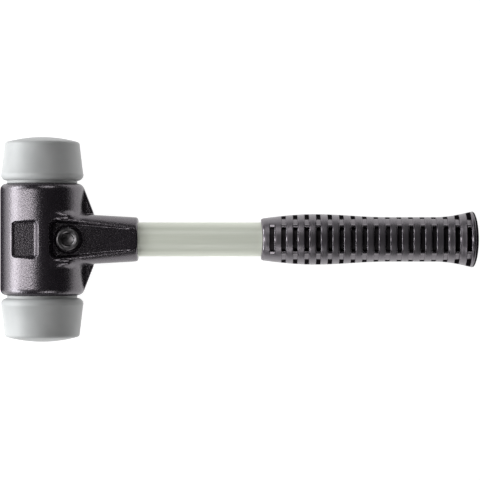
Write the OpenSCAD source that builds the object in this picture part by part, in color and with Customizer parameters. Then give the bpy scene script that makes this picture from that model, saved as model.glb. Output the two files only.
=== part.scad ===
// Soft-face hammer: two cast housing halves clamp a pair of exchangeable striking
// inserts and a fibreglass handle between them, drawn together by one socket-head screw.
// The hammer lies on its rear half: X runs along the handle, Y along the head, Z up.
// All sizes are in millimetres.

/* [Head barrel] */
// Diameter of the barrel
head_d = 61; // [58:0.5:68]
// Length of the barrel along the head axis
head_len = 81.4; // [80:0.2:92]
// Rounding of the barrel's end edges
head_edge_r = 4.7; // [2:0.1:5]
// Open gap between the two halves at the parting plane
parting_gap = 0.8; // [0.4:0.1:0.9]

/* [Handle arm of the housing] */
// Distance from the head axis to the arm's mouth
arm_len = 70; // [62:0.5:84]
// Distance from the head axis to the section where the arm starts
arm_root_at = 8; // [6:0.5:9]
// Width of the arm at its start, along the head
arm_root_w = 38.6; // [35:0.2:42]
// Depth of the arm at its start, front to back
arm_root_depth = 58.8; // [56:0.2:59]
// Rounding of the arm's long edges at its start
arm_root_edge_r = 6; // [3:0.5:9]
// Width of the arm at its mouth
arm_mouth_w = 32.4; // [31:0.2:36]
// Depth of the arm at its mouth
arm_mouth_depth = 34.6; // [33:0.2:38]
// Rounding of the mouth's rim
mouth_edge_r = 2; // [0.5:0.25:2.5]
// Thickness of the gusset webs beside the arm, through both halves
gusset_t = 6; // [5:0.5:10]
// Distance of the gussets' feet from the head axis
gusset_foot = 37.4; // [35:0.2:44]
// Distance of the gussets' shoulders from the barrel's ends
gusset_shoulder = 3.6; // [2:0.2:8]

/* [Screw pocket] */
// Distance from the head axis to the pocket's floor
pocket_start = 9; // [8.5:0.25:9.5]
// Width of the pocket's floor at its start
pocket_root_w = 25; // [22:0.5:26]
// Width of the pocket's floor at the arm's mouth
pocket_mouth_w = 14.4; // [10:0.2:16]
// Height of the floor over the parting plane at its start
pocket_root_h = 17.6; // [17.2:0.1:18.6]
// Height of the floor over the parting plane at the arm's mouth
pocket_mouth_h = 15.3; // [15:0.1:15.6]
// Corner rounding of the pocket's floor
pocket_corner_r = 3.4; // [2:0.2:4]
// Draft of the pocket's walls, in degrees
pocket_draft = 9; // [3:1:12]

/* [Mark recess] */
// Size of the recess across the barrel, at its floor
recess_w = 16.8; // [14:0.2:18.6]
// Size of the recess along the barrel, at its floor
recess_len = 25.4; // [18:0.2:28]
// Distance of the floor's middle from the head axis
recess_at = 11.5; // [11.3:0.1:12.3]
// Height of the floor over the parting plane
recess_h = 21.2; // [20:0.1:22]
// Corner rounding of the recess floor
recess_corner_r = 2.6; // [1.5:0.1:4]
// Draft of the recess walls, in degrees
recess_draft = 4; // [2:1:8]
// Lean of the recess wall on the arm's side, beyond its draft
recess_lean = 1.85; // [0.5:0.05:3]

/* [Striking inserts] */
// Largest diameter of the insert, beside the housing
face_d = 60; // [58:0.5:66]
// Diameter of the insert at its striking rim
face_rim_d = 54.6; // [53:0.2:57]
// Height of the insert from its underside to the striking rim
face_len = 28.4; // [24:0.2:40]
// Rounding of the insert's lower edge
face_base_r = 4.2; // [2:0.1:4.3]
// Rounding of the striking rim
face_rim_r = 2.4; // [1:0.1:4]
// Radius of the crowned striking face
crown_r = 85; // [60:1:200]
// Diameter of the flat at the middle of the crown
crown_flat_d = 18; // [8:1:30]
// Diameter of the collar that seats on the housing's end
collar_d = 51; // [47:0.5:51.5]
// Height of the collar, seen as the gap between insert and housing
collar_h = 2.1; // [1.5:0.1:4]
// Diameter of the spigot where it passes the housing's lip
spigot_d = 36; // [30:0.5:39]
// Thickness of the housing's lip
lip_len = 7; // [5:0.5:9]
// Diameter of the retaining bead on the spigot
bead_d = 43; // [40.5:0.5:47]
// Length of the retaining bead
bead_len = 9; // [6:0.5:11]

/* [Clamp screw] */
// Nominal thread diameter
thread_d = 10; // [8:0.5:10]
// Distance of the screw from the head axis
screw_at = 20.2; // [19.8:0.1:21]
// Length of the screw under its head
screw_len = 40; // [38:0.5:41]
// Diameter of the screw's head
screw_head_d = 16; // [14:0.2:17]
// Height of the screw's head
screw_head_h = 10; // [8:0.2:11]
// Width across flats of the hexagon socket
socket_af = 8; // [6:0.5:8]
// Depth of the hexagon socket
socket_depth = 5.2; // [4.4:0.2:6]
// Width across flats of the nut
nut_af = 16; // [15:0.5:17]
// Height of the nut
nut_h = 8.4; // [6:0.2:9]
// Outside diameter of the lock washer
washer_d = 16; // [14:0.2:17.6]
// Thickness of the lock washer
washer_t = 1.2; // [0.8:0.1:1.4]
// Height of the washer's seat over the parting plane
washer_seat_h = 15.8; // [15.4:0.1:16.4]
// Diameter of the spot face round the washer's seat
spot_face_d = 20; // [19:0.2:21]
// Distance of the nut's seat behind the parting plane
nut_seat_h = 15; // [14.6:0.1:15.4]

/* [Handle] */
// Diameter of the fibreglass shaft
shaft_d = 25; // [22:0.5:25.5]
// Distance from the head axis to the shaft's end inside the head
shaft_start = 5; // [3:0.5:9]
// Distance from the head axis to the grip's front edge
grip_start = 159.2; // [120:1:240]
// Length of the grip
grip_len = 158.6; // [150:0.5:190]
// Thickness of the grip's closed end behind the shaft
grip_end_t = 5.6; // [3:0.2:10]

/* [Grip shape] */
// Diameter of the grip at its front edge
grip_front_d = 30.4; // [28:0.2:33]
// Largest diameter of the grip's swell
grip_swell_d = 36.8; // [34:0.2:42]
// Distance of the swell from the front edge
grip_swell_at = 39; // [30:1:50]
// Diameter of the grip's waist
grip_waist_d = 32.4; // [31.6:0.2:35]
// Distance of the waist's start from the front edge
grip_waist_from = 93; // [80:1:100]
// Distance of the waist's end from the front edge
grip_waist_to = 127; // [115:1:135]
// Diameter of the flared end
grip_flare_d = 40.8; // [37:0.2:48]
// Length of the domed end behind the flare
grip_dome_h = 4.6; // [3:0.2:5.4]
// Rounding depth of the front edge, from side to middle
grip_saddle = 1.6; // [0.6:0.1:2]

/* [Grip slots] */
// Number of slot rings along the grip
slot_rings = 18; // [6:1:18]
// Distance of the first ring from the front edge
slot_first = 8.2; // [6:0.2:9]
// Distance from ring to ring
slot_pitch = 8.39; // [6:0.05:8.4]
// Width of a slot along the grip
slot_w = 3.1; // [2:0.1:4]
// Diameter of the round core that the slots bare
slot_core_d = 28.7; // [27:0.1:30]
// Distance of the ribs in the slots from the handle's axis
rib_at = 8.8; // [7:0.1:10]
// Thickness of the ribs in the slots
rib_w = 1.8; // [1.2:0.1:2.6]
// Drop of the ribs below the grip's surface
rib_drop = 0.3; // [0.1:0.1:0.8]
// Thickness of the web that closes the slots along the mould's parting line
mould_web_t = 3; // [2:0.2:6]

/* [Fits] */
// Clearance between the housing and what it clamps
clamp_clear = 0.2; // [0.1:0.05:0.3]
// Clearance of the screw in the holes that it passes
hole_clear = 0.5; // [0.2:0.1:0.8]
// Clearance of the screw in the nut's thread
thread_clear = 0.08; // [0.05:0.01:0.1]
// Clearance of the nut in its hexagon pocket
nut_clear = 0.25; // [0.1:0.05:0.4]
// Clearance of the grip on the shaft
grip_clear = 0.05; // [0.02:0.01:0.1]

/* [Hidden] */
$fn = 64;
// Segments of a circle inside a hull
hull_fn = 32;
// Segments of a rounded edge
edge_steps = 6;
// Segments of each stretch of the grip's outline
grip_steps = 8;
// Overrun of cuts past the surface that they leave
over = 1;
// Thickness of the slices that a hull spans
slice = 0.01;
// Corner chamfer of the shaft, the spigot, the screw and the nut
chamfer = 0.8;
// Width of the chamfer at the mouth of the hexagon socket
socket_chamfer = 0.8;
// Slit of the split lock washer
washer_slit = 1.5;
// Drop of the arm's mouth rim where its rounding ends
mouth_rim_inset = mouth_edge_r;

// Half of a hexagon's width across corners for a width across flats
function hex_r(af) = af / 2 / cos(30);
// Points along an arc about a centre
function arc(centre, r, from, to, first = 0) =
    [for (i = [first:edge_steps]) let (a = from + (to - from) * i / edge_steps)
        centre + r * [cos(a), sin(a)]];

widest_d = max(head_d, face_d);
// Height of the parting plane over the bench
bench_h = widest_d / 2;
grip_end = grip_start + grip_len;
part_len = widest_d / 2 + grip_end;
// Place of the head axis when the part's middle is the origin
head_x = widest_d / 2 - part_len / 2;
end_h = head_len / 2;
face_h = end_h + collar_h;
// Centre of the rim's rounding, and of the crown that runs tangent to it
rim_centre = [face_rim_d / 2 - face_rim_r, face_h + face_len - face_rim_r];
crown_centre_h = rim_centre.y - sqrt(pow(crown_r - face_rim_r, 2) - pow(rim_centre.x, 2));
crown_from = atan2(rim_centre.y - crown_centre_h, rim_centre.x);
crown_to = acos(crown_flat_d / 2 / crown_r);
insert_top = crown_centre_h + crown_r * sin(crown_to);
screw_seat_h = washer_seat_h + washer_t + thread_clear;
screw_hole_d = thread_d + 2 * hole_clear;
bore_d = shaft_d + 2 * clamp_clear;
swell_rise = grip_swell_d - grip_front_d;
swell_fall = grip_swell_d - grip_waist_d;
flare_rise = grip_flare_d - grip_waist_d;
flare_at = grip_len - grip_dome_h;

// Stands the head's centre over the bench, with the origin under the part's middle
module place() translate([head_x, 0, bench_h]) children();

// Turns an axis along Z to lie along the head
module along_head() rotate([-90, 0, 0]) children();

// Turns an axis along Z to lie along the handle
module along_handle() rotate([0, 90, 0]) children();

// Radius of the grip's outline at a distance from its front edge
function grip_r(u) =
    u < grip_swell_at ? (grip_front_d + swell_rise * sin(90 * u / grip_swell_at)) / 2
    : u < grip_waist_from
        ? (grip_waist_d + swell_fall
            * (1 + cos(180 * (u - grip_swell_at) / (grip_waist_from - grip_swell_at))) / 2) / 2
    : u < grip_waist_to ? grip_waist_d / 2
    : u < flare_at
        ? (grip_waist_d + flare_rise
            * (1 - cos(90 * (u - grip_waist_to) / (flare_at - grip_waist_to)))) / 2
    : grip_flare_d / 2 * sqrt(max(0, 1 - pow((u - flare_at) / grip_dome_h, 2)));

// Places along one stretch of the grip's outline, with its start and without its end
function grip_stretch(from, to) = [for (i = [0:grip_steps - 1]) from + (to - from) * i / grip_steps];

// Solid barrel with rounded end edges
module barrel() {
    r = head_d / 2 - head_edge_r;
    h = end_h - head_edge_r;
    along_head() rotate_extrude()
        polygon(concat([[0, -end_h]], arc([r, -h], head_edge_r, -90, 0),
            arc([r, h], head_edge_r, 0, 90), [[0, end_h]]));
}

// One slice of the arm's mouth, drawn in by a margin
module mouth_slice(at, inset) {
    translate([at - slice, 0, 0]) along_handle()
        scale([(arm_mouth_depth / 2 - inset) / (arm_mouth_w / 2 - inset), 1, 1])
            cylinder(r = arm_mouth_w / 2 - inset, h = slice, $fn = 2 * hull_fn);
}

// Tapered arm from the barrel to the mouth that takes the handle
module arm() {
    corner = [arm_root_depth / 2 - arm_root_edge_r, arm_root_w / 2 - arm_root_edge_r];
    hull() {
        for (sx = [-1, 1], sy = [-1, 1])
            translate([arm_root_at, sy * corner.y, sx * corner.x]) along_handle()
                cylinder(r = arm_root_edge_r, h = slice, $fn = hull_fn);
        for (i = [0:edge_steps]) let (a = 90 * i / edge_steps)
            mouth_slice(arm_len - mouth_edge_r * (1 - sin(a)), mouth_rim_inset * (1 - cos(a)));
    }
}

// Flat webs in the parting plane between the barrel and the arm
module gussets() {
    shoulder = end_h - gusset_shoulder;
    foot_y = arm_mouth_w / 2;
    for (s = [0, 1]) mirror([0, s, 0]) translate([0, 0, -gusset_t / 2]) linear_extrude(gusset_t)
        polygon([[0, shoulder], [head_d / 2, shoulder], [gusset_foot, arm_root_w / 2],
            [gusset_foot, foot_y], [0, foot_y]]);
}

// Drafted pocket in the arm's front, from beside the screw out to the mouth
module pocket_cut() {
    top = arm_root_depth / 2 + over;
    ends = [[pocket_start + pocket_corner_r, pocket_root_w / 2, pocket_root_h],
        [arm_len + pocket_corner_r, pocket_mouth_w / 2, pocket_mouth_h]];
    hull() for (e = ends, s = [-1, 1])
        translate([e.x, s * (e.y - pocket_corner_r), e.z])
            cylinder(r1 = pocket_corner_r, r2 = pocket_corner_r + (top - e.z) * tan(pocket_draft),
                h = top - e.z, $fn = hull_fn);
}

// Drafted recess in the barrel's front, left bare
module recess_cut() {
    depth = head_d / 2 + over - recess_h;
    hull() for (sx = [-1, 1], sy = [-1, 1])
        translate([sx * (recess_w / 2 - recess_corner_r) - recess_at,
                sy * (recess_len / 2 - recess_corner_r), recess_h]) {
            cylinder(r = recess_corner_r, h = slice, $fn = hull_fn);
            translate([max(sx, 0) * recess_lean, 0, depth])
                cylinder(r = recess_corner_r + depth * tan(recess_draft), h = slice, $fn = hull_fn);
        }
}

// Seats of both inserts: a lip round the spigot and a groove round its bead
module insert_seats() {
    for (s = [0, 1]) mirror([0, s, 0]) along_head() {
        translate([0, 0, end_h - lip_len])
            cylinder(d = spigot_d + 2 * clamp_clear, h = lip_len + over);
        translate([0, 0, end_h - lip_len - bead_len])
            cylinder(d = bead_d + 2 * clamp_clear, h = bead_len);
    }
}

// Bore that takes the handle, from the mouth to its end inside the head
module handle_bore() {
    from = shaft_start - clamp_clear;
    translate([from, 0, 0]) along_handle() cylinder(d = bore_d, h = arm_len + over - from);
}

// Front half of the housing as it stands before the parting plane, with its screw hole
module housing_half() {
    reach = [part_len, 2 * insert_top, head_d];
    difference() {
        intersection() {
            union() {
                barrel();
                arm();
                gussets();
            }
            translate([-reach.x / 2, -reach.y / 2, parting_gap / 2]) cube(reach);
        }
        pocket_cut();
        recess_cut();
        insert_seats();
        handle_bore();
        translate([screw_at, 0, 0]) cylinder(d = screw_hole_d, h = head_d);
    }
}

module front_housing_half() {
    color("#2b292c") place() difference() {
        housing_half();
        translate([screw_at, 0, washer_seat_h]) cylinder(d = spot_face_d, h = head_d);
    }
}

module rear_housing_half() {
    color("#2b292c") place() mirror([0, 0, 1]) difference() {
        housing_half();
        translate([screw_at, 0, nut_seat_h])
            cylinder(r = hex_r(nut_af + 2 * nut_clear), h = head_d, $fn = 6);
    }
}

// Striking insert above the head's centre, as one turned outline
module insert() {
    bead_from = end_h - lip_len - bead_len + clamp_clear;
    bead_to = end_h - lip_len - clamp_clear;
    bead_r = bead_d / 2;
    along_head() rotate_extrude() polygon(concat(
        [[0, bead_from], [bead_r - chamfer, bead_from], [bead_r, bead_from + chamfer],
            [bead_r, bead_to], [spigot_d / 2, bead_to], [spigot_d / 2, end_h + clamp_clear],
            [collar_d / 2, end_h + clamp_clear], [collar_d / 2, face_h]],
        arc([face_d / 2 - face_base_r, face_h + face_base_r], face_base_r, -90, 0),
        arc(rim_centre, face_rim_r, 0, crown_from),
        arc([0, crown_centre_h], crown_r, crown_from, crown_to, first = 1),
        [[0, insert_top]]));
}

module upper_insert() {
    color("#9b9c9e") place() insert();
}

module lower_insert() {
    color("#9b9c9e") place() mirror([0, 1, 0]) insert();
}

// Socket-head screw, with its thread as a plain cylinder
module clamp_screw() {
    head_r = screw_head_d / 2;
    tip = screw_seat_h - screw_len;
    head_top = screw_seat_h + screw_head_h;
    shank_r = thread_d / 2;
    color("#3a3838") place() translate([screw_at, 0, 0]) difference() {
        rotate_extrude() polygon([[0, tip], [shank_r - chamfer, tip], [shank_r, tip + chamfer],
            [shank_r, screw_seat_h], [head_r, screw_seat_h], [head_r, head_top - chamfer],
            [head_r - chamfer, head_top], [0, head_top]]);
        translate([0, 0, head_top - socket_depth])
            cylinder(r = hex_r(socket_af), h = socket_depth + over, $fn = 6);
        translate([0, 0, head_top - socket_chamfer])
            cylinder(r1 = hex_r(socket_af), r2 = hex_r(socket_af) + socket_chamfer,
                h = socket_chamfer);
    }
}

// Split spring washer under the screw's head
module lock_washer() {
    color("#8d8e90") place() translate([screw_at, 0, washer_seat_h]) difference() {
        cylinder(d = washer_d, h = washer_t);
        translate([0, 0, -over]) cylinder(d = screw_hole_d, h = washer_t + 2 * over);
        translate([0, -washer_slit / 2, -over])
            cube([washer_d, washer_slit, washer_t + 2 * over]);
    }
}

// Hexagon nut, held from turning by its pocket in the rear half
module clamp_nut() {
    corner_r = hex_r(nut_af);
    color("#8d8e90") place() mirror([0, 0, 1]) translate([screw_at, 0, nut_seat_h]) difference() {
        intersection() {
            cylinder(r = corner_r, h = nut_h, $fn = 6);
            rotate_extrude() polygon([[0, 0], [corner_r, 0], [corner_r, nut_h - chamfer],
                [corner_r - 2 * chamfer, nut_h], [0, nut_h]]);
        }
        translate([0, 0, -over])
            cylinder(d = thread_d + 2 * thread_clear, h = nut_h + 2 * over);
    }
}

// Solid fibreglass shaft, cross-drilled for the screw
module handle_shaft() {
    shaft_len = grip_end - grip_end_t - shaft_start;
    r = shaft_d / 2;
    color("#c9cdc0") place() difference() {
        translate([shaft_start, 0, 0]) along_handle() rotate_extrude()
            polygon([[0, 0], [r - chamfer, 0], [r, chamfer], [r, shaft_len - chamfer],
                [r - chamfer, shaft_len], [0, shaft_len]]);
        translate([screw_at, 0, -shaft_d]) cylinder(d = screw_hole_d, h = 2 * shaft_d);
    }
}

// Cut of one ring of slots, which leaves the core, the ribs and the mould line's web standing
module slot_ring(u, rib) {
    reach = grip_flare_d;
    height = slot_w + 2 * over;
    translate([0, 0, u - slot_w / 2]) difference() {
        cylinder(r = reach, h = slot_w);
        translate([0, 0, -over]) cylinder(d = slot_core_d, h = height);
        intersection() {
            translate([0, 0, -over]) cylinder(r = grip_r(u) - rib_drop, h = height);
            union() {
                for (s = [0, 1]) mirror([0, s, 0]) translate([-reach, rib_at, -over])
                    cube([2 * reach, rib, height]);
                translate([-mould_web_t / 2, -reach, -over])
                    cube([mould_web_t, 2 * reach, height]);
            }
        }
    }
}

// Cut that trims the grip's front edge to a round saddle, drawn back at its front and back
module saddle_cut() {
    half = grip_front_d / 2;
    saddle_r = (pow(half, 2) + pow(grip_saddle, 2)) / 2 / grip_saddle;
    side = grip_swell_d;
    below = 2 * over;
    difference() {
        translate([-side, -side, -below]) cube([2 * side, 2 * side, below + grip_saddle + over]);
        translate([0, side + over, saddle_r]) rotate([90, 0, 0])
            cylinder(r = saddle_r, h = 2 * (side + over));
    }
}

// Moulded rubber grip with rings of slots, closed behind the shaft
module handle_grip() {
    outline = concat(grip_stretch(0, grip_swell_at), grip_stretch(grip_swell_at, grip_waist_from),
        [grip_waist_from], grip_stretch(grip_waist_to, flare_at));
    dome = [for (i = [0:edge_steps]) let (a = 90 * i / edge_steps)
        [grip_flare_d / 2 * cos(a), flare_at + grip_dome_h * sin(a)]];
    color("#3b393d") place() translate([grip_start, 0, 0]) along_handle() difference() {
        rotate_extrude() polygon(concat([[0, -over], [grip_front_d / 2, -over]],
            [for (u = outline) [grip_r(u), u]], dome));
        translate([0, 0, -over])
            cylinder(d = shaft_d + 2 * grip_clear, h = grip_len - grip_end_t + over);
        for (i = [0:slot_rings - 1])
            slot_ring(slot_first + i * slot_pitch, i == 0 ? grip_flare_d : rib_w);
        saddle_cut();
    }
}

front_housing_half();
rear_housing_half();
upper_insert();
lower_insert();
clamp_screw();
lock_washer();
clamp_nut();
handle_shaft();
handle_grip();
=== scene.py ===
# %% [markdown]
# # A soft-face hammer, dressed for the studio
#
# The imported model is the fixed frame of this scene: nine solids at their real size, already in
# place. This script gives them their finish and replaces the ones whose real shape is softer than
# a plain solid: cast edges, moulded rubber, a knurled screw head. It is a lesson in cells. Before
# each step, a cell like this one says what the piece is on the real hammer, how it could be made
# in Blender, and why this way was chosen.

# %% Load the frame
from math import acos, asin, atan2, copysign, cos, degrees, hypot, pi, radians, sin, sqrt, tan

import bmesh
import bpy
from mathutils import Matrix, Vector
from mathutils.kdtree import KDTree


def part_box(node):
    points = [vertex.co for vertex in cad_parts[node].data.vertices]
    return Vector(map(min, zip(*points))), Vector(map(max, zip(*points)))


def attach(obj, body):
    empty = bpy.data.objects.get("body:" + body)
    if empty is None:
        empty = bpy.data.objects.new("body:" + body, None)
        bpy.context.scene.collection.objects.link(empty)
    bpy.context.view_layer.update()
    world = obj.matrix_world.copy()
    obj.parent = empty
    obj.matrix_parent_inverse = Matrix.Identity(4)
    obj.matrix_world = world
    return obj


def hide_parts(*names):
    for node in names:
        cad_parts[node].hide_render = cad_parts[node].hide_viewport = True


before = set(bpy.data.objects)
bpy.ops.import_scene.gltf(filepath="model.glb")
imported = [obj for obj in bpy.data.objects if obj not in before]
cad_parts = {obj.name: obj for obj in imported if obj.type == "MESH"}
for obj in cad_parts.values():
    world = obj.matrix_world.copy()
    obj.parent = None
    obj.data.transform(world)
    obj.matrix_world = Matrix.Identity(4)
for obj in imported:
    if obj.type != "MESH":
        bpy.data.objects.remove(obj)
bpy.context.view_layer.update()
scene = bpy.context.scene
scene.view_settings.view_transform = "Standard"

# %% [markdown]
# ## Places that the frame gives
#
# Everything below is placed from the boxes of the CAD nodes, so that a piece lands where its solid
# is. The hammer lies on its rear half: X runs along the handle, Y along the head, Z up. The head's
# axis and the handle's axis cross in the parting plane between the two cast halves.

# %% Axes of the head, the handle and the screw
MM = 0.001
insert_low, insert_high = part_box("upper_insert")
grip_low, grip_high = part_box("handle_grip")
screw_low, screw_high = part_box("clamp_screw")
head_x = (insert_low.x + insert_high.x) / 2
axis_z = (insert_low.z + insert_high.z) / 2
screw_x = (screw_low.x + screw_high.x) / 2
print(f"head axis at x {head_x:.4f}, parting plane at z {axis_z:.4f}, screw at x {screw_x:.4f}")

# %% [markdown]
# ## Camera
#
# The picture looks straight down on the hammer from far away, with a long lens, so lines that run
# along the view hardly converge. A camera that is neither turned nor tilted looks down its own -Z
# with +X to the right and +Y up, which is the view wanted here: only its place and its lens are
# set. The lens follows from the width that the picture spans at the parting plane.

# %% Make the camera
VIEW_WIDTH = 349.9 * MM
VIEW_MIDDLE = Vector((0.47 * MM, -0.44 * MM))
CAMERA_DISTANCE = 1.7
CAMERA_SEES_TO = 100
camera_data = bpy.data.cameras.new("camera")
camera_data.lens = camera_data.sensor_width * CAMERA_DISTANCE / VIEW_WIDTH
camera_data.clip_end = CAMERA_SEES_TO
camera = bpy.data.objects.new("camera", camera_data)
camera.location = (VIEW_MIDDLE.x, VIEW_MIDDLE.y, axis_z + CAMERA_DISTANCE)
scene.collection.objects.link(camera)
scene.camera = camera
print(f"camera lens {camera_data.lens:.1f} mm")

# %% [markdown]
# ## Node helpers
#
# A procedural finish is a small graph: a texture makes a grey value, a ramp turns it into a colour
# or a roughness, and a bump node turns it into fine relief. These helpers add one such step each,
# so that a finish further down reads as a short list of what is seen on the surface. All patterns
# sit on Object coordinates. Every piece's object stays at the origin, so these are metres in the
# hammer's own frame, and a scale of 1000 gives grains of about a millimetre.

# %% Helpers for finishes
NOISE_RANGE = (0.3, 0.7)


def new_finish(name):
    """A material, its node tree and its main shader."""
    material = bpy.data.materials.new(name)
    material.use_nodes = True
    tree = material.node_tree
    return material, tree, tree.nodes["Principled BSDF"]


def object_point(tree, stretch=(1, 1, 1)):
    """Object coordinates, stretched to draw a pattern out along an axis."""
    place = tree.nodes.new("ShaderNodeTexCoord")
    mapping = tree.nodes.new("ShaderNodeMapping")
    mapping.inputs["Scale"].default_value = stretch
    tree.links.new(place.outputs["Object"], mapping.inputs["Vector"])
    return mapping.outputs["Vector"]


def noise(tree, point, scale, detail=2.0):
    """Cloudy grey values, mostly between 0.3 and 0.7."""
    node = tree.nodes.new("ShaderNodeTexNoise")
    node.inputs["Scale"].default_value = scale
    node.inputs["Detail"].default_value = detail
    tree.links.new(point, node.inputs["Vector"])
    return node.outputs["Fac"]


def spread(tree, value, low, high, clear=NOISE_RANGE):
    """A grey value stretched from its usual range to low and high."""
    node = tree.nodes.new("ShaderNodeMapRange")
    node.inputs["From Min"].default_value = clear[0]
    node.inputs["From Max"].default_value = clear[1]
    node.inputs["To Min"].default_value = low
    node.inputs["To Max"].default_value = high
    tree.links.new(value, node.inputs["Value"])
    return node.outputs["Result"]


def tint(tree, value, dark, light, clear=NOISE_RANGE):
    """A colour between dark and light, picked by a grey value."""
    node = tree.nodes.new("ShaderNodeValToRGB")
    first, last = node.color_ramp.elements
    first.position, last.position = clear
    first.color = (*dark, 1)
    last.color = (*light, 1)
    tree.links.new(value, node.inputs["Fac"])
    return node.outputs["Color"]


def relief(tree, shader, value, depth, under=None):
    """Fine relief of a depth in metres, laid over an earlier relief."""
    node = tree.nodes.new("ShaderNodeBump")
    node.inputs["Distance"].default_value = depth
    tree.links.new(value, node.inputs["Height"])
    if under is not None:
        tree.links.new(under, node.inputs["Normal"])
    tree.links.new(node.outputs["Normal"], shader.inputs["Normal"])
    return node.outputs["Normal"]


# %% [markdown]
# ## Finish of the castings
#
# The two halves of the head are cast and then coated in a satin black. The coat keeps the grain of
# the sand mould, about a millimetre across, which glitters where the light falls off. A very dark
# base whose surface mirrors strongly, but not sharply, gives both: a deep black where nothing is
# mirrored, and a broad bright sheen where the lamp is. The coat mirrors with a faint violet cast, and
# so does the grip's rubber.

# %% Black casting
VIOLET = (1, 0.92, 1, 1)
CAST_DARK = (0.009, 0.007, 0.010)
CAST_LIGHT = (0.014, 0.011, 0.015)
CAST_ROUGHNESS = (0.22, 0.3)
CAST_IOR = 1.67
CAST_CLOUDS = 90
GRAIN_SCALE = 1100
GRAIN_DEPTH = 0.145 * MM
PORE_SCALE = 3000
PORE_DEPTH = 0.02 * MM


def black_casting():
    """Satin black coat over the grain of a sand casting."""
    material, tree, shader = new_finish("black_casting")
    point = object_point(tree)
    cloud = noise(tree, point, CAST_CLOUDS)
    grain = noise(tree, point, GRAIN_SCALE)
    pores = noise(tree, point, PORE_SCALE)
    tree.links.new(tint(tree, cloud, CAST_DARK, CAST_LIGHT), shader.inputs["Base Color"])
    tree.links.new(spread(tree, grain, *CAST_ROUGHNESS), shader.inputs["Roughness"])
    shader.inputs["IOR"].default_value = CAST_IOR
    shader.inputs["Specular IOR Level"].default_value = 1
    shader.inputs["Specular Tint"].default_value = VIOLET
    coarse = relief(tree, shader, grain, GRAIN_DEPTH)
    relief(tree, shader, pores, PORE_DEPTH, under=coarse)
    return material


casting = black_casting()
print("finish:", casting.name)

# %% [markdown]
# ## Finish of the striking inserts
#
# The inserts are moulded from a medium grey elastomer, matt and even, with only a faint cloudiness
# and a skin that is slightly rough from the mould. A nearly plain base with one slow noise and one
# fine one is enough: the shading of the round form does the rest.

# %% Grey elastomer
ELASTOMER_DARK = (0.40, 0.405, 0.405)
ELASTOMER_LIGHT = (0.44, 0.445, 0.445)
ELASTOMER_ROUGHNESS = (0.42, 0.52)
ELASTOMER_CLOUDS = 70
SKIN_SCALE = 1800
SKIN_DETAIL = 3
SKIN_DEPTH = 0.008 * MM


def grey_elastomer():
    """Matt grey elastomer with a moulded skin."""
    material, tree, shader = new_finish("grey_elastomer")
    point = object_point(tree)
    cloud = noise(tree, point, ELASTOMER_CLOUDS)
    skin = noise(tree, point, SKIN_SCALE, SKIN_DETAIL)
    tree.links.new(tint(tree, cloud, ELASTOMER_DARK, ELASTOMER_LIGHT), shader.inputs["Base Color"])
    tree.links.new(spread(tree, skin, *ELASTOMER_ROUGHNESS), shader.inputs["Roughness"])
    relief(tree, shader, skin, SKIN_DEPTH)
    return material


elastomer = grey_elastomer()
print("finish:", elastomer.name)

# %% [markdown]
# ## Finish of the shaft
#
# The shaft is a drawn rod of glass fibre in a pale grey-green resin. The fibres run along it, so
# its pattern is a noise drawn out fiftyfold along X, which tints the resin and ripples its surface a
# little. A slow noise changes its gloss.

# %% Pale fibreglass
RESIN_DARK = (0.83, 0.86, 0.745)
RESIN_LIGHT = (0.885, 0.915, 0.80)
RESIN_ROUGHNESS = (0.28, 0.38)
RESIN_CLOUDS = 60
CLOUD_STRETCH = (0.3, 1, 1)
FIBRE_SCALE = 1400
FIBRE_DETAIL = 3
FIBRE_STRETCH = (0.02, 1, 1)
FIBRE_DEPTH = 0.012 * MM


def pale_fibreglass():
    """Pale resin with fibres that run along the shaft."""
    material, tree, shader = new_finish("pale_fibreglass")
    fibres = noise(tree, object_point(tree, FIBRE_STRETCH), FIBRE_SCALE, FIBRE_DETAIL)
    cloud = noise(tree, object_point(tree, CLOUD_STRETCH), RESIN_CLOUDS)
    tree.links.new(tint(tree, fibres, RESIN_DARK, RESIN_LIGHT), shader.inputs["Base Color"])
    tree.links.new(spread(tree, cloud, *RESIN_ROUGHNESS), shader.inputs["Roughness"])
    relief(tree, shader, fibres, FIBRE_DEPTH)
    return material


fibreglass = pale_fibreglass()
print("finish:", fibreglass.name)

# %% [markdown]
# ## Finishes of the fasteners
#
# The socket screw is steel with a thin black oxide, a dark metal that still mirrors. The nut and
# the spring washer are zinc plated, a light grey metal with a fine spangle. Both are one graph
# with other numbers.

# %% Steel finishes
SPANGLE_SCALE = 600
SPANGLE_DETAIL = 4
PLATING_SCALE = 2500
PLATING_DEPTH = 0.006 * MM
OXIDE_TONES = ((0.12, 0.115, 0.118), (0.20, 0.19, 0.196))
OXIDE_ROUGHNESS = (0.28, 0.4)
ZINC_TONES = ((0.52, 0.53, 0.54), (0.66, 0.67, 0.68))
ZINC_ROUGHNESS = (0.26, 0.38)


def plated_steel(name, dark, light, roughness):
    """Steel under a thin layer that varies in tone."""
    material, tree, shader = new_finish(name)
    point = object_point(tree)
    spangle = noise(tree, point, SPANGLE_SCALE, SPANGLE_DETAIL)
    tree.links.new(tint(tree, spangle, dark, light), shader.inputs["Base Color"])
    tree.links.new(spread(tree, spangle, *roughness), shader.inputs["Roughness"])
    shader.inputs["Metallic"].default_value = 1
    relief(tree, shader, noise(tree, point, PLATING_SCALE), PLATING_DEPTH)
    return material


black_oxide = plated_steel("black_oxide_steel", *OXIDE_TONES, OXIDE_ROUGHNESS)
zinc = plated_steel("zinc_steel", *ZINC_TONES, ZINC_ROUGHNESS)
print("finishes:", black_oxide.name, zinc.name)

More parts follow.
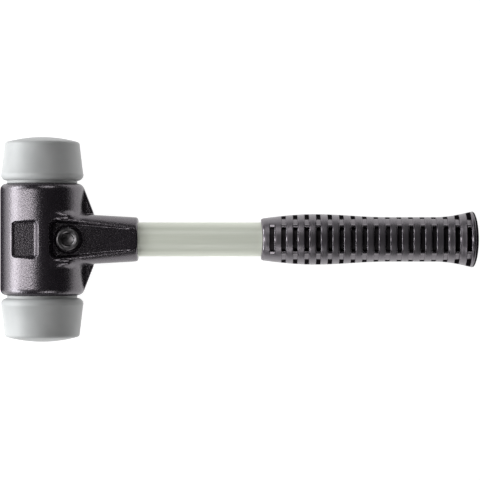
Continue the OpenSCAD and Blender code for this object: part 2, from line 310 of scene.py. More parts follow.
# %% [markdown]
# ## Finishes of the grip
#
# The grip is one moulding of black rubber with three surfaces: the bands that the hand holds carry a
# fine pebbled texture from the mould, the lip, the outer slots, the bands' edges and the domed end
# are polished by the mould, and the deep slots on the front and the back are matt. The deep slots
# also get a darker base and a weaker mirror than the bands, which paints in the shade that falls
# inside them. Three materials on one mesh keep them apart with a clean edge.

# %% Grip rubber
RUBBER_CLOUDS = 120
PEBBLE_SCALE = 1500
RUBBER_IOR = 1.8
SLOT_IOR = 1.3
BAND_TONES = ((0.024, 0.022, 0.026), (0.040, 0.036, 0.043))
BAND_ROUGHNESS = (0.34, 0.44)
BAND_SHEEN = 0.3
BAND_PEBBLES = 0.09 * MM
POLISHED_TONES = ((0.012, 0.010, 0.013), (0.018, 0.016, 0.020))
POLISHED_ROUGHNESS = (0.18, 0.26)
POLISHED_PEBBLES = 0.004 * MM
# The slots' tones are darker than the bands' to paint in the shade inside the deep slots.
SLOT_SHADE_TONES = ((0.006, 0.005, 0.006), (0.010, 0.009, 0.011))
SLOT_ROUGHNESS = (0.5, 0.6)
SLOT_PEBBLES = 0.01 * MM


def grip_rubber(name, dark, light, roughness, ior, sheen, pebble_depth):
    """Black rubber with pebbles of a depth in metres."""
    material, tree, shader = new_finish(name)
    point = object_point(tree)
    cloud = noise(tree, point, RUBBER_CLOUDS)
    pebble = noise(tree, point, PEBBLE_SCALE)
    tree.links.new(tint(tree, cloud, dark, light), shader.inputs["Base Color"])
    tree.links.new(spread(tree, pebble, *roughness), shader.inputs["Roughness"])
    shader.inputs["IOR"].default_value = ior
    shader.inputs["Specular IOR Level"].default_value = 1
    shader.inputs["Specular Tint"].default_value = VIOLET
    shader.inputs["Sheen Weight"].default_value = sheen
    relief(tree, shader, pebble, pebble_depth)
    return material


band_rubber = grip_rubber("grip_band_rubber", *BAND_TONES, BAND_ROUGHNESS, RUBBER_IOR,
                          BAND_SHEEN, BAND_PEBBLES)
smooth_rubber = grip_rubber("grip_smooth_rubber", *POLISHED_TONES, POLISHED_ROUGHNESS, RUBBER_IOR,
                            0, POLISHED_PEBBLES)
# The slot rubber paints the shade of the deep slots with its darker base and weaker mirror.
slot_shade_rubber = grip_rubber("grip_slot_painted_shade", *SLOT_SHADE_TONES, SLOT_ROUGHNESS, SLOT_IOR,
                          0, SLOT_PEBBLES)
print("finishes:", band_rubber.name, smooth_rubber.name, slot_shade_rubber.name)

# %% [markdown]
# ## From a bmesh to a piece
#
# A bmesh is a mesh being worked on. To be shown it becomes an object, gets its finish, rides on
# the body that carries it, and stands for its CAD node, which is then hidden. Smooth shading with
# sharp edges kept by angle suits every piece here.

# %% Helpers that make an object
SHARP_ANGLE = radians(50)


def as_object(name, bm):
    """A plain object that holds a finished bmesh."""
    mesh = bpy.data.meshes.new(name)
    bm.to_mesh(mesh)
    bm.free()
    made = bpy.data.objects.new(name, mesh)
    scene.collection.objects.link(made)
    return made


def make_piece(name, bm, finishes, body):
    """An object made of a bmesh, shaded smooth, that rides on a body and replaces its CAD node."""
    for face in bm.faces:
        face.smooth = True
    mesh = bpy.data.meshes.new(name + "_made")
    bm.to_mesh(mesh)
    bm.free()
    mesh.set_sharp_from_angle(angle=SHARP_ANGLE)
    for finish in finishes:
        mesh.materials.append(finish)
    piece = bpy.data.objects.new(name + "_made", mesh)
    scene.collection.objects.link(piece)
    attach(piece, body)
    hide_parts(name)
    mesh.calc_loop_triangles()
    print(f"{piece.name}: {len(mesh.vertices)} vertices, {len(mesh.loop_triangles)} triangles")


# %% [markdown]
# ## The cast halves of the head
#
# A sand casting has no sharp edge and no sharp inner corner. Bevelling every edge of such a solid
# by hand is long work, and fails where three surfaces meet at odd angles. So each half starts as a
# merged copy of its solid, is turned into small even quads by a voxel Remesh, and is then smoothed
# a few times: flat and round stretches stay where they are, and every edge and corner gets the
# small radius of a casting. Where the arm grows out of the barrel the real fillet is larger. The
# fold there is found by its inward edges, and the vertices near it are smoothed many more times.
# Close to the head's top the arm stands only a millimetre or two above the barrel, and the smoothing
# would level that. So the corner is filled there with a short slope beside the arm's edge.

# %% Remesh and soften a casting
WELD = 0.001 * MM
CAST_VOXEL = 0.53 * MM
CAST_PASSES = 2
SMOOTH_SHARE = 0.5
FILLET_PASSES = 196
FILLET_REACH = 7.5 * MM
FILLET_ABOVE_PARTING = 4 * MM
FILLET_ACROSS = (14.2 * MM, 28 * MM)
FOLD_ANGLE = radians(-10)
ROOT_FROM = 8 * MM
ROOT_TOP = 29.4 * MM
ROOT_SLOPE = 0.195
LEDGE_IN = (14.3 * MM, 15.6 * MM)
LEDGE_OUT = (17.3 * MM, 21 * MM)
LEDGE_FADE = (20 * MM, 30 * MM)
LEDGE_DEPTH = 2 * MM
LEDGE_PASSES = 11
housing_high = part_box("front_housing_half")[1]
barrel_r = housing_high.z - axis_z


def even_quads(name):
    """A merged copy of a CAD node as a bmesh of even quads."""
    merged = bmesh.new()
    merged.from_mesh(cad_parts[name].data)
    bmesh.ops.remove_doubles(merged, verts=merged.verts, dist=WELD)
    copy = as_object(name + "_merged", merged)
    remesh = copy.modifiers.new("even quads", "REMESH")
    remesh.mode = "VOXEL"
    remesh.voxel_size = CAST_VOXEL
    depsgraph = bpy.context.evaluated_depsgraph_get()
    bm = bmesh.new()
    bm.from_object(copy, depsgraph)
    bpy.data.objects.remove(copy)
    return bm


def soften(bm, verts, passes):
    """Draws vertices towards the middle of their neighbours, several times."""
    for _ in range(passes):
        bmesh.ops.smooth_vert(bm, verts=verts, factor=SMOOTH_SHARE, use_axis_x=True, use_axis_y=True,
                              use_axis_z=True)


def beside_arm(point):
    """Whether a point lies on the outside of the head, beside the arm's root."""
    along = point.x - head_x
    rise = point.z - axis_z
    outside = hypot(along, rise) > barrel_r - FILLET_REACH / 2
    across = FILLET_ACROSS[0] < abs(point.y) < FILLET_ACROSS[1]
    return along > 0 and outside and across and abs(rise) > FILLET_ABOVE_PARTING


def fillet_verts(bm):
    """Vertices within reach of the inward fold between arm and barrel."""
    fold = [edge.verts[0].co.copy() for edge in bm.edges
            if edge.calc_face_angle_signed(0) < FOLD_ANGLE and beside_arm(edge.verts[0].co)]
    tree = KDTree(len(fold))
    for i, place in enumerate(fold):
        tree.insert(place, i)
    tree.balance()
    return [v for v in bm.verts if beside_arm(v.co) and tree.find(v.co)[2] < FILLET_REACH]


def ramp(value, low, high):
    """A smooth rise from 0 at low to 1 at high."""
    share = min(max((value - low) / (high - low), 0), 1)
    return share * share * (3 - 2 * share)


def fill_root(bm):
    """Fills the shallow corner where the arm's edge comes out of the barrel's top."""
    filled = []
    for v in bm.verts:
        along = v.co.x - head_x
        if not ROOT_FROM < along < LEDGE_FADE[1]:
            continue
        rise = v.co.z - axis_z
        round_top = sqrt(barrel_r ** 2 - along ** 2)
        step = ROOT_TOP - ROOT_SLOPE * (along - ROOT_FROM) - round_top
        beside = ramp(abs(v.co.y), *LEDGE_IN) * (1 - ramp(abs(v.co.y), *LEDGE_OUT))
        share = beside * (1 - ramp(along, *LEDGE_FADE))
        if share > 0 and abs(rise) > round_top - LEDGE_DEPTH:
            v.co.z = axis_z + copysign(max(abs(rise), round_top + step * share), rise)
            filled.append(v)
    soften(bm, filled, LEDGE_PASSES)


def cast_half(name, body):
    """One half of the head with the soft edges of a casting."""
    bm = even_quads(name)
    fillet = fillet_verts(bm)
    print(name, "fillet vertices:", len(fillet))
    soften(bm, bm.verts[:], CAST_PASSES)
    soften(bm, fillet, FILLET_PASSES)
    fill_root(bm)
    make_piece(name, bm, [casting], body)


cast_half("front_housing_half", "front_half")
cast_half("rear_housing_half", "rear_half")

# %% [markdown]
# ## Turned shapes
#
# The inserts, the screw and the grip are round about an axis. Their half outline is a row of
# points, each given by its distance from the axis and its place along it, and Blender's spin
# operator sweeps that row through a full turn. The ends of the row lie on the axis, so the poles
# close when double vertices are merged. Normals are worked out afresh at the end, because a spin
# may come out inside out.


# %% Helpers for turned shapes
def arc(centre, radius, first, last, steps):
    """Points along a round stretch of an outline, with both ends, for angles in degrees."""
    turns = [radians(first + (last - first) * i / steps) for i in range(steps + 1)]
    return [(centre[0] + radius * cos(a), centre[1] + radius * sin(a)) for a in turns]


def spun(outline, origin, along, outward, segments):
    """A closed bmesh made by spinning (radius, height) points about an axis."""
    bm = bmesh.new()
    row = [bm.verts.new(origin + outward * r + along * h) for r, h in outline]
    for start, end in zip(row, row[1:]):
        bm.edges.new((start, end))
    bmesh.ops.spin(bm, geom=bm.verts[:] + bm.edges[:], cent=origin, axis=along, angle=2 * pi,
                   steps=segments, use_merge=True)
    bmesh.ops.remove_doubles(bm, verts=bm.verts, dist=WELD)
    bmesh.ops.recalc_face_normals(bm, faces=bm.faces)
    return bm


# %% [markdown]
# ## The striking inserts
#
# Each insert is a moulded plug: a beaded spigot held inside the head, a narrow collar that shows
# as the gap beside the casting, a rounded shoulder, a flank that tapers to the striking rim, and a
# crowned face. A fine step runs round the flank just above the shoulder, where the two parts of
# the mould met. The lower insert is the same outline turned the other way.

# %% Outline of an insert
INSERT_SEGMENTS = 128
SPIGOT_R = 18 * MM
BEAD_R = 21.5 * MM
COLLAR_R = 25.5 * MM
SHOULDER_ROUND = 4.2 * MM
RIM_R = 27.3 * MM
RIM_ROUND = 2.4 * MM
RIM_DROP = 3.365 * MM
RIM_TURN = 73
RIM_STEPS = 6
CROWN_STEPS = 10
ROUND_STEPS = 8
BEAD_CHAMFER = 0.8 * MM
MOULD_STEP = 0.14 * MM
MOULD_STEP_RISE = 5.2 * MM
SEAT_CLEAR = 0.2 * MM
COLLAR_RISE = 2.1 * MM
HEAD_LIP = 7 * MM
insert_r = (insert_high.x - insert_low.x) / 2
collar_foot = housing_high.y + SEAT_CLEAR
shoulder_at = housing_high.y + COLLAR_RISE
bead_top = housing_high.y - HEAD_LIP - SEAT_CLEAR


def insert_outline():
    """Half outline of an insert, from its inner end to the middle of its face."""
    bead_foot = insert_low.y
    rim_at = insert_high.y - RIM_DROP - RIM_ROUND
    step_at = shoulder_at + MOULD_STEP_RISE
    slope = (insert_r - RIM_R) / (rim_at - shoulder_at - SHOULDER_ROUND)
    step_r = insert_r - slope * (step_at - shoulder_at - SHOULDER_ROUND)
    rim = arc((RIM_R - RIM_ROUND, rim_at), RIM_ROUND, 0, RIM_TURN, RIM_STEPS)
    sag = insert_high.y - rim[-1][1]
    crown_r = (rim[-1][0] ** 2 + sag ** 2) / (2 * sag)
    crown_from = 90 - degrees(asin(rim[-1][0] / crown_r))
    crown = arc((0, insert_high.y - crown_r), crown_r, crown_from, 90, CROWN_STEPS)
    round_at = (insert_r - SHOULDER_ROUND, shoulder_at + SHOULDER_ROUND)
    return [(0, bead_foot), (BEAD_R - BEAD_CHAMFER, bead_foot), (BEAD_R, bead_foot + BEAD_CHAMFER),
            (BEAD_R, bead_top), (SPIGOT_R, bead_top), (SPIGOT_R, collar_foot), (COLLAR_R, collar_foot),
            (COLLAR_R, shoulder_at),
            *arc(round_at, SHOULDER_ROUND, -90, 0, ROUND_STEPS),
            (step_r, step_at), (step_r - MOULD_STEP, step_at + MOULD_STEP), *rim, *crown[1:]]


def striking_insert(name, up):
    """One insert above or below the head's centre."""
    bm = spun(insert_outline(), Vector((head_x, 0, axis_z)), Vector((0, up, 0)), Vector((1, 0, 0)),
              INSERT_SEGMENTS)
    make_piece(name, bm, [elastomer], name)


striking_insert("upper_insert", 1)
striking_insert("lower_insert", -1)

# %% [markdown]
# ## The clamp screw
#
# A socket-head cap screw: a shank, a round head with a knurled side and a bevelled top edge, and a
# hexagon socket with a countersunk mouth. The body is spun. The knurl is made by drawing every
# second column of the head's side inwards. The socket is cut with a Boolean, because a hexagon in
# a round face has no edges to extrude from. The cutters are a six-sided prism, a cone for the mouth
# and a second cone for the drill's point at the bottom, which is where such a socket glints.

# %% Make the clamp screw
SCREW_SEGMENTS = 96
HEAD_HEIGHT = 10 * MM
SHANK_R = 5 * MM
SCREW_CHAMFER = 0.8 * MM
HEAD_ROUND = 0.9 * MM
HEAD_ROUND_STEPS = 5
KNURL_DEPTH = 0.2 * MM
KNURL_MARGIN = 1.2 * MM
SOCKET_ACROSS_FLATS = 8 * MM
SOCKET_DEPTH = 5.2 * MM
SOCKET_MOUTH = 0.8 * MM
SOCKET_POINT = 1.8 * MM
SOCKET_SIDES = 6
CONE_SIDES = 48
OVERRUN = 1 * MM
screw_r = (screw_high.x - screw_low.x) / 2
head_foot = screw_high.z - HEAD_HEIGHT
screw_base = Vector((screw_x, 0, 0))


def screw_outline():
    """Half outline of the screw, from its tip to the middle of its head."""
    knurl_foot = head_foot + KNURL_MARGIN
    knurl_top = screw_high.z - HEAD_ROUND - KNURL_MARGIN
    edge = arc((screw_r - HEAD_ROUND, screw_high.z - HEAD_ROUND), HEAD_ROUND, 0, 90, HEAD_ROUND_STEPS)
    return [(0, screw_low.z), (SHANK_R - SCREW_CHAMFER, screw_low.z),
            (SHANK_R, screw_low.z + SCREW_CHAMFER), (SHANK_R, head_foot), (screw_r, head_foot),
            (screw_r, knurl_foot), (screw_r, knurl_foot + KNURL_DEPTH),
            (screw_r, knurl_top - KNURL_DEPTH), (screw_r, knurl_top), *edge, (0, screw_high.z)]


def knurl(bm):
    """Draws every second column of the head's side inwards."""
    low = head_foot + KNURL_MARGIN + KNURL_DEPTH / 2
    high = screw_high.z - HEAD_ROUND - KNURL_MARGIN - KNURL_DEPTH / 2
    for v in bm.verts:
        out = v.co - screw_base
        column = round(atan2(out.y, out.x) / (2 * pi) * SCREW_SEGMENTS)
        if column % 2 and low < v.co.z < high and hypot(out.x, out.y) > screw_r - KNURL_DEPTH / 2:
            v.co.x -= KNURL_DEPTH * out.x / screw_r
            v.co.y -= KNURL_DEPTH * out.y / screw_r


def cone(bm, sides, low_r, high_r, low_z, high_z, turn=0.0):
    """A closed prism or cone that stands on the screw's axis."""
    made = bmesh.ops.create_cone(bm, cap_ends=True, segments=sides, radius1=low_r, radius2=high_r,
                                 depth=high_z - low_z)
    middle = screw_base + Vector((0, 0, (low_z + high_z) / 2))
    bmesh.ops.rotate(bm, verts=made["verts"], cent=(0, 0, 0), matrix=Matrix.Rotation(turn, 3, "Z"))
    bmesh.ops.translate(bm, verts=made["verts"], vec=middle)


def cut(body, cutters):
    """A bmesh of a passing object with other passing objects cut out of it."""
    for cutter in cutters:
        boolean = body.modifiers.new("cut", "BOOLEAN")
        boolean.object = cutter
        boolean.solver = "EXACT"
    bm = bmesh.new()
    bm.from_object(body, bpy.context.evaluated_depsgraph_get())
    for passing in [body, *cutters]:
        bpy.data.objects.remove(passing)
    return bm


def clamp_screw():
    """The screw with its knurled head and its hexagon socket."""
    body = spun(screw_outline(), screw_base, Vector((0, 0, 1)), Vector((1, 0, 0)), SCREW_SEGMENTS)
    knurl(body)
    half_side = pi / SOCKET_SIDES
    corner_r = SOCKET_ACROSS_FLATS / 2 / cos(half_side)
    top = screw_high.z + OVERRUN
    bottom = screw_high.z - SOCKET_DEPTH
    prism, mouth, drill = bmesh.new(), bmesh.new(), bmesh.new()
    cone(prism, SOCKET_SIDES, corner_r, corner_r, bottom, top, half_side)
    cone(mouth, CONE_SIDES, corner_r - SOCKET_MOUTH, corner_r + SOCKET_MOUTH + OVERRUN,
         screw_high.z - 2 * SOCKET_MOUTH, top)
    cone(drill, CONE_SIDES, 0, SOCKET_ACROSS_FLATS / 2, bottom - SOCKET_POINT, bottom)
    cutters = [as_object("socket_cut", cutter) for cutter in (prism, mouth, drill)]
    bm = cut(as_object("screw_blank", body), cutters)
    make_piece("clamp_screw", bm, [black_oxide], "clamp_screw")


clamp_screw()

# %% [markdown]
# ## The rubber grip
#
# The grip is a sleeve with a swell, a waist and a flared, domed end. Eighteen rings of slots run
# round it. Between the rings stand bands with rounded shoulders. In each ring two ribs, square to
# the mould's draw, split the slots, and a web closes them along the mould's parting line. First the
# sleeve is spun, with a shallow groove at each ring. Then the columns of vertices are moved round
# so that some of them follow the ribs and the web at every radius. Last, the faces between the ribs
# are extruded down to the core. That way the slots need no Boolean, and the mesh stays in quads.

# %% Shape of the grip
GRIP_FRONT_R = 15.2 * MM
GRIP_SWELL_R = 18.4 * MM
GRIP_SWELL_AT = 39 * MM
GRIP_WAIST_R = 16.2 * MM
GRIP_WAIST = (93 * MM, 127 * MM)
GRIP_DOME = 4.6 * MM
GRIP_END_WALL = 5.6 * MM
GRIP_BORE_R = 12.55 * MM
LIP_ROUND = 1.5 * MM
LIP_STEPS = 6
LIP_CHAMFER = 0.3 * MM
grip_len = grip_high.x - grip_low.x
flare_r = (grip_high.z - grip_low.z) / 2
flare_at = grip_len - GRIP_DOME


def grip_radius(u):
    """Radius of the grip's outline at a distance from its front edge, up to the flare."""
    if u < GRIP_SWELL_AT:
        return GRIP_FRONT_R + (GRIP_SWELL_R - GRIP_FRONT_R) * sin(pi / 2 * u / GRIP_SWELL_AT)
    if u < GRIP_WAIST[0]:
        fall = (u - GRIP_SWELL_AT) / (GRIP_WAIST[0] - GRIP_SWELL_AT)
        return GRIP_WAIST_R + (GRIP_SWELL_R - GRIP_WAIST_R) * (1 + cos(pi * fall)) / 2
    if u < GRIP_WAIST[1]:
        return GRIP_WAIST_R
    rise = (u - GRIP_WAIST[1]) / (flare_at - GRIP_WAIST[1])
    return GRIP_WAIST_R + (flare_r - GRIP_WAIST_R) * (1 - cos(pi / 2 * rise))


# %% Outline of the grip with its grooves
SLOT_RINGS = 18
SLOT_FIRST = 8.2 * MM
SLOT_PITCH = 8.39 * MM
SLOT_W = 3.1 * MM
RIB_DROP = 0.5 * MM
SHOULDER_LEN = 0.75 * MM
SHOULDER_STEPS = 4
BAND_STEPS = 3
DOME_STEPS = 10
slot_places = [SLOT_FIRST + SLOT_PITCH * i for i in range(SLOT_RINGS)]


def shoulder(edge, inward):
    """Points of a rounded shoulder, from a groove's edge up to the band beside it."""
    turns = [pi / 2 * i / SHOULDER_STEPS for i in range(SHOULDER_STEPS)]
    return [(grip_radius(edge) - RIB_DROP * (1 - sin(a)), edge + inward * SHOULDER_LEN * (1 - cos(a)))
            for a in turns]


def band(start, end, opening, closing):
    """Points along a band, with a rounded shoulder at an end that meets a groove."""
    first = start + SHOULDER_LEN if opening else start
    last = end - SHOULDER_LEN if closing else end
    points = [first + (last - first) * i / BAND_STEPS for i in range(BAND_STEPS + 1)]
    row = [(grip_radius(u), u) for u in points]
    if opening:
        row = shoulder(start, 1) + row
    if closing:
        row += shoulder(end, -1)[::-1]
    return row


def grip_outline():
    """Half outline of the grip: the bore from its closed end, the lip, the bands and the dome."""
    edges = [u + side * SLOT_W / 2 for u in slot_places for side in (-1, 1)]
    bore_end = grip_len - GRIP_END_WALL
    lip = arc((GRIP_FRONT_R - LIP_ROUND, LIP_ROUND), LIP_ROUND, 270, 360, LIP_STEPS)
    row = [(0, bore_end), (GRIP_BORE_R, bore_end), (GRIP_BORE_R, LIP_CHAMFER),
           (GRIP_BORE_R + LIP_CHAMFER, 0), *lip[:-1]]
    row += band(LIP_ROUND, edges[0], False, True)
    for start, end in zip(edges[1::2], edges[2::2]):
        row += band(start, end, True, True)
    row += band(edges[-1], flare_at, True, False)
    turns = [pi / 2 * i / DOME_STEPS for i in range(1, DOME_STEPS + 1)]
    return row + [(flare_r * cos(a), flare_at + GRIP_DOME * sin(a)) for a in turns]


print("grip outline points:", len(grip_outline()))

# %% [markdown]
# A column of vertices is known by its number, counted from the top of the grip to its side and
# back. The ribs and the web lie at fixed distances from the axis, so the angle at which a column
# has to stand depends on the radius. A row of stops gives, for each column number, the angle that
# it belongs to, at any radius.

# %% Columns that follow the ribs
GRIP_SEGMENTS = 96
RIB_INNER = 8.8 * MM
RIB_OUTER = 10.6 * MM
WEB_HALF = 1.5 * MM
CORE_R = 14.35 * MM
OUTER_FLOOR_R = 15.3 * MM
COLUMN_STOPS = (0, 11, 13, 22, 24)
quarter = GRIP_SEGMENTS // 4
grip_origin = Vector((grip_low.x, 0, axis_z))


def column_angle(column, radius):
    """Angle from the grip's top of a column between 0 and a quarter, at a radius."""
    r = max(radius, GRIP_BORE_R)
    angles = (0, asin(RIB_INNER / r), asin(RIB_OUTER / r), acos(WEB_HALF / r), pi / 2)
    for i, stop in enumerate(COLUMN_STOPS[1:]):
        if column <= stop:
            share = (column - COLUMN_STOPS[i]) / (stop - COLUMN_STOPS[i])
            return angles[i] + (angles[i + 1] - angles[i]) * share
    return pi / 2


def place_round(v, number, radius):
    """Sets a vertex at its column's angle and at a radius from the handle's axis."""
    side, column = divmod(number, quarter)
    folded = quarter - column if side % 2 else column
    angle = column_angle(folded, radius)
    angle = pi * ((side + 1) // 2) + (-angle if side % 2 else angle)
    v.co.y = radius * sin(angle)
    v.co.z = axis_z + radius * cos(angle)


def number_columns(bm):
    """Writes each vertex's column number into a layer of the mesh and moves it to its place."""
    layer = bm.verts.layers.int.new("column")
    for v in bm.verts:
        y, z = v.co.y, v.co.z - axis_z
        v[layer] = round(atan2(y, z) / (2 * pi) * GRIP_SEGMENTS) % GRIP_SEGMENTS
        place_round(v, v[layer], hypot(y, z))
    return layer


# %% [markdown]
# The slots are the groove's faces between the ribs. In the first ring only the slots on the front
# and the back are open: the sides stay closed, as a smooth ear behind the lip. Along the parting
# line the web is as high as the bands, so the grip's outline is smooth there. The lip, the bands'
# shoulders and the domed end come out of the mould as smooth as the outer slots. All slots are
# extruded in one go, the new faces are set down on the core, the outer ones a little less deep, and
# the ribs' edges get a small bevel that catches the light. A face names its finish by its place in
# the grip's list: the bands' rubber is first, the polished one second, the deep slots' one third.

# %% Cut the slots and shape the lip
RIB_INNER_BEVEL = 0.25 * MM
RIB_OUTER_BEVEL = 1.2 * MM
BEVEL_STEPS = 4
SMOOTH_DROP = 0.02 * MM
RING_CLEAR = 0.1 * MM
POLISHED = 1
DEEP = 2
SADDLE = 1.6 * MM
SADDLE_FADE = 6 * MM


def folded_column(v, layer):
    """Column number counted from the nearer of the grip's top and bottom."""
    side, column = divmod(v[layer], quarter)
    return quarter - column if side % 2 else column


def ring_number(u):
    """Number of the ring of slots that is nearest to a distance from the grip's front edge."""
    return round((u - SLOT_FIRST) / SLOT_PITCH)


def fill_web(bm, layer):
    """Raises the web, and the sides of the first ring, to the height of the bands."""
    for v in bm.verts:
        u = v.co.x - grip_low.x
        web = folded_column(v, layer) >= COLUMN_STOPS[3]
        ear = folded_column(v, layer) >= COLUMN_STOPS[2] and ring_number(u) == 0
        outside = hypot(v.co.y, v.co.z - axis_z) > CORE_R and LIP_ROUND < u < flare_at
        if outside and (web or ear):
            place_round(v, v[layer], grip_radius(u))


def smooth_skin(bm):
    """Gives the lip, the bands' shoulders and the domed end the smooth rubber."""
    for face in bm.faces:
        places = [(v.co.x - grip_low.x, hypot(v.co.y, v.co.z - axis_z)) for v in face.verts]
        drop = max(grip_radius(u) - r for u, r in places)
        moulded = drop > SMOOTH_DROP and max(u for u, r in places) < flare_at
        domed = min(u for u, r in places) > flare_at - WELD
        if moulded or domed:
            face.material_index = POLISHED


def slot_faces(bm, layer):
    """Faces of the grooves that open into slots."""
    found = []
    for face in bm.faces:
        centre = face.calc_center_median() - grip_origin
        ring = ring_number(centre.x)
        beside = abs(centre.x - SLOT_FIRST - ring * SLOT_PITCH)
        at_ring = 0 <= ring < SLOT_RINGS and beside < RING_CLEAR
        if not at_ring or hypot(centre.y, centre.z) < CORE_R:
            continue
        column = sum(folded_column(v, layer) for v in face.verts) / len(face.verts)
        middle = column < COLUMN_STOPS[1]
        outer = COLUMN_STOPS[2] < column < COLUMN_STOPS[3]
        if middle or (outer and ring > 0):
            found.append(face)
    return found


def cut_slots(bm, layer):
    """Extrudes the slots down to the core and gives them their finishes."""
    opened = slot_faces(bm, layer)
    made = bmesh.ops.extrude_face_region(bm, geom=opened)
    bmesh.ops.delete(bm, geom=opened, context="FACES")
    floor = {part for part in made["geom"] if isinstance(part, bmesh.types.BMVert)}
    for v in floor:
        inner = folded_column(v, layer) <= COLUMN_STOPS[1]
        place_round(v, v[layer], CORE_R if inner else OUTER_FLOOR_R)
    for face in bm.faces:
        if any(v in floor for v in face.verts):
            # Deep slot faces take the slot rubber, whose darker base is painted shade.
            deep = all(folded_column(v, layer) <= COLUMN_STOPS[1] for v in face.verts)
            face.material_index = DEEP if deep else POLISHED
    print("slot vertices on the core:", len(floor))
    return floor


def round_ribs(bm, layer, floor):
    """Bevels the ends of the slots: sharp at the deep ones, round at the outer ones."""
    ends = {True: [], False: []}
    for edge in bm.edges:
        walls = [f for f in edge.link_faces if any(v in floor for v in f.verts)]
        along = abs(edge.verts[0].co.x - edge.verts[1].co.x) > SLOT_W / 2
        if along and len(walls) == 1 and not any(v in floor for v in edge.verts):
            ends[folded_column(edge.verts[0], layer) <= COLUMN_STOPS[1]].append(edge)
    for deep, offset in ((False, RIB_OUTER_BEVEL), (True, RIB_INNER_BEVEL)):
        edges = [edge for edge in ends[deep] if edge.is_valid]
        bmesh.ops.bevel(bm, geom=edges, offset=offset, offset_type="OFFSET", segments=BEVEL_STEPS,
                        profile=0.5, affect="EDGES", clamp_overlap=True, material=-1)
    print("rib edges bevelled:", len(ends[True]), "inner and", len(ends[False]), "outer")


def saddle_lip(bm):
    """Draws the lip back at the grip's front and back, so that its sides reach further forward."""
    saddle_r = (GRIP_FRONT_R ** 2 + SADDLE ** 2) / (2 * SADDLE)
    for v in bm.verts:
        u = v.co.x - grip_low.x
        if u < SADDLE_FADE:
            up = v.co.z - axis_z
            v.co.x += (saddle_r - sqrt(saddle_r ** 2 - up ** 2)) * (1 - u / SADDLE_FADE)


def rubber_grip():
    """The whole grip."""
    bm = spun(grip_outline(), grip_origin, Vector((1, 0, 0)), Vector((0, 0, 1)), GRIP_SEGMENTS)
    layer = number_columns(bm)
    fill_web(bm, layer)
    smooth_skin(bm)
    round_ribs(bm, layer, cut_slots(bm, layer))
    saddle_lip(bm)
    bmesh.ops.recalc_face_normals(bm, faces=bm.faces)
    finishes = [band_rubber, smooth_rubber, slot_shade_rubber]
    make_piece("handle_grip", bm, finishes, "rear_half")


rubber_grip()

# %% [markdown]
# ## Pieces that keep their solid
#
# The shaft, the nut and the spring washer are plain shapes on the real hammer, so their CAD nodes
# stay. They only get their finish.

# %% Finish the CAD nodes that stay
KEPT_NODES = {"handle_shaft": (fibreglass, "pale_fibreglass"), "clamp_nut": (zinc, "zinc_steel"),
              "lock_washer": (zinc, "zinc_steel")}
for name, (finish, slot) in KEPT_NODES.items():
    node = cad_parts[name]
    node.data.materials.clear()
    node.data.materials.append(finish)
    print(f"{name}: kept, with {finish.name}")

# %% [markdown]
# ## The floor
#
# The hammer lies on a white floor that is lit from below, as on a light table, and its glow wraps
# round the sides of the shaft and the inserts. The table is brightest under the hammer and falls off
# towards its far edges, which a gradient that is a ball in space gives. The camera, and whatever
# mirrors the floor, sees a steady glow just below white instead, so the picture's ground is even. The
# Light Path node picks between the two. The grey base takes the light of the lamps and the hammer's
# shadow. Two black cards lie on the floor, one beyond the head and one beyond the grip, outside the
# picture, as photographers use them to give a glossy dark part a dark edge against white. The camera
# doesn't see the cards, only their reflection in the casting and the rubber.

# %% Make the floor and the cards
FLOOR_SIZE = 30
FLOOR_SEEN = 0.95
FLOOR_GLOW = 1.58
FLOOR_REACH = 1.5
FLOOR_SHADE = 0.3
CARD_BLACK = 0.02
CARDS = (("left_card", (-250 * MM, -178 * MM), 50 * MM),
         ("right_card", (176 * MM, 420 * MM), 60 * MM))
CARD_LIFT = 0.3 * MM
UNIT_HALF = 0.5


def grey(value):
    """An opaque grey."""
    return (value, value, value, 1)


def stage_finish(name, base):
    """A matt stage surface of an even grey."""
    material, _, shader = new_finish(name)
    shader.inputs["Base Color"].default_value = grey(base)
    shader.inputs["Roughness"].default_value = 1
    shader.inputs["Specular IOR Level"].default_value = 0
    return material


def light_table(material):
    """Gives a stage surface a glow that falls off with distance, but looks even to the camera."""
    tree = material.node_tree
    shader = tree.nodes["Principled BSDF"]
    shader.inputs["Emission Color"].default_value = grey(1)
    shrink = 1 / FLOOR_REACH
    ball = tree.nodes.new("ShaderNodeTexGradient")
    ball.gradient_type = "QUADRATIC_SPHERE"
    tree.links.new(object_point(tree, (shrink, shrink, shrink)), ball.inputs["Vector"])
    pick = tree.nodes.new("ShaderNodeMix")
    pick.inputs["B"].default_value = FLOOR_SEEN
    tree.links.new(spread(tree, ball.outputs["Fac"], 0, FLOOR_GLOW, (0, 1)), pick.inputs["A"])
    rays = tree.nodes.new("ShaderNodeLightPath")
    seen = rays.outputs["Is Camera Ray"]
    for kind in ("Is Glossy Ray", "Is Transmission Ray"):
        either = tree.nodes.new("ShaderNodeMath")
        either.operation = "MAXIMUM"
        tree.links.new(seen, either.inputs[0])
        tree.links.new(rays.outputs[kind], either.inputs[1])
        seen = either.outputs["Value"]
    tree.links.new(seen, pick.inputs["Factor"])
    tree.links.new(pick.outputs["Result"], shader.inputs["Emission Strength"])
    material.cycles.emission_sampling = "NONE"
    return material


def stage_sheet(name, size, centre, finish):
    """A flat sheet that is part of the stage."""
    bm = bmesh.new()
    bmesh.ops.create_grid(bm, x_segments=1, y_segments=1, size=UNIT_HALF)
    bmesh.ops.scale(bm, verts=bm.verts, vec=(*size, 1))
    bmesh.ops.translate(bm, verts=bm.verts, vec=centre)
    sheet = as_object(name, bm)
    sheet.data.materials.append(finish)
    return sheet


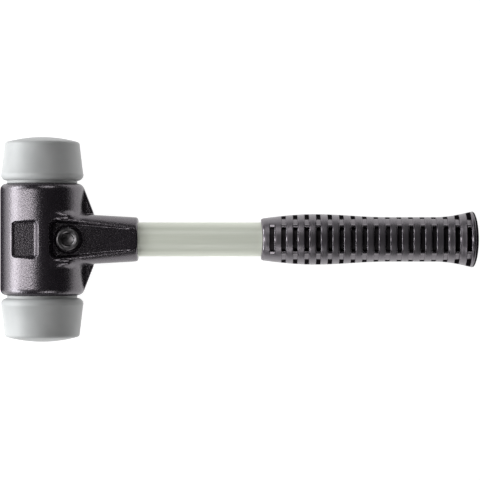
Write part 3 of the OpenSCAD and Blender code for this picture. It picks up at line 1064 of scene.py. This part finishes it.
floor_finish = light_table(stage_finish("white_floor", FLOOR_SHADE))
stage_sheet("floor", (FLOOR_SIZE, FLOOR_SIZE), (0, 0, 0), floor_finish)
card_finish = stage_finish("black_card", CARD_BLACK)
for name, (first, last), half in CARDS:
    card = stage_sheet(name, (last - first, 2 * half), ((first + last) / 2, 0, CARD_LIFT), card_finish)
    card.visible_camera = False
    card.visible_shadow = False
    card.visible_diffuse = False
print("floor:", FLOOR_SIZE, "m across, with", len(CARDS), "cards")

# %% [markdown]
# ## Light
#
# The picture shows broad light from the left and low: the inserts fall into shade just right of
# their middle. Two lamps give it, one a little above and one a little below the head's middle in the
# picture, because the barrel mirrors only what lies straight to its left. There stands a narrow
# strip, from low to nearly overhead and weaker at its top, which draws the long sheen on the black
# barrel without lighting much else. Two small lamps at half height, one on each side of the arm,
# light its rims and the shaft's root, which the head keeps in shade from the left. The room above is
# dark, so black parts that face up stay black. A lamp's brightness is set by what it should look
# like in a mirror, and its power follows from its area.


# %% Helpers for lamps
def soft_lamp(name, centre, target, size, radiance, colour):
    """A rectangular lamp that faces a point, with a given brightness of its face."""
    data = bpy.data.lights.new(name, "AREA")
    data.shape = "RECTANGLE"
    data.size, data.size_y = size
    data.energy = radiance * pi * size[0] * size[1]
    data.color = colour
    lamp = bpy.data.objects.new(name, data)
    lamp.location = centre
    lamp.rotation_euler = (target - centre).to_track_quat("-Z", "Y").to_euler()
    lamp.visible_camera = False
    scene.collection.objects.link(lamp)
    print(f"{name}: {data.energy:.2f} W")


def seen_from(point, azimuth, elevation, distance):
    """A place round a point; azimuth 0 is along +X, towards the grip's end, and 180 is the left."""
    a, e = radians(azimuth), radians(elevation)
    return point + distance * Vector((cos(a) * cos(e), sin(a) * cos(e), sin(e)))


def lamp_height(low, high, distance):
    """Height of a lamp that is seen between two elevations."""
    return 2 * distance * tan(radians(high - low) / 2)


def lamp_at(name, target, azimuth, between, width, distance, radiance, colour=(1, 1, 1)):
    """A lamp beside a point, at an azimuth, that reaches from one elevation to another."""
    low, high = between
    centre = seen_from(target, azimuth, (low + high) / 2, distance)
    soft_lamp(name, centre, target, (width, lamp_height(low, high, distance)), radiance, colour)


# %% Lamps at the head
LEFT = 180
HEAD_LAMP_DISTANCE = 0.6
KEY_TURN = 25
KEY_SPAN = (0, 24)
KEY_WIDTH = 0.4
KEY_LIGHT = 7.6
KEY_COLOUR = (0.96, 0.99, 1.0)
STRIP_WIDTH = 0.13
STRIP_SPAN = (2, 72)
STRIP_LIGHT = 6.4
STRIP_TOP_SPAN = (72, 80)
STRIP_TOP_LIGHT = 1.0
head_middle = Vector((head_x, 0, axis_z))
for name, turn in (("key_up", LEFT - KEY_TURN), ("key_down", LEFT + KEY_TURN)):
    lamp_at(name, head_middle, turn, KEY_SPAN, KEY_WIDTH, HEAD_LAMP_DISTANCE, KEY_LIGHT, KEY_COLOUR)
lamp_at("strip", head_middle, LEFT, STRIP_SPAN, STRIP_WIDTH, HEAD_LAMP_DISTANCE, STRIP_LIGHT)
lamp_at("strip_top", head_middle, LEFT, STRIP_TOP_SPAN, STRIP_WIDTH, HEAD_LAMP_DISTANCE, STRIP_TOP_LIGHT)

# %% Lamps at the arm
SHAFT_ROOT_X = -45 * MM
ARM_LAMP_DISTANCE = 0.36
SIDE_TURN = 90
SIDE_SPAN = (32, 52)
SIDE_WIDTH = 0.16
SIDE_LIGHT = 3.2
shaft_root = Vector((SHAFT_ROOT_X, 0, axis_z))
for name, turn in (("side_up", LEFT - SIDE_TURN), ("side_down", LEFT + SIDE_TURN)):
    lamp_at(name, shaft_root, turn, SIDE_SPAN, SIDE_WIDTH, ARM_LAMP_DISTANCE, SIDE_LIGHT)

# %% A dark room
ROOM_LIGHT = 0.02
world = bpy.data.worlds.new("dark_room")
world.use_nodes = True
world.node_tree.nodes["Background"].inputs["Color"].default_value = grey(1)
world.node_tree.nodes["Background"].inputs["Strength"].default_value = ROOM_LIGHT
scene.world = world
print("room light:", ROOM_LIGHT)
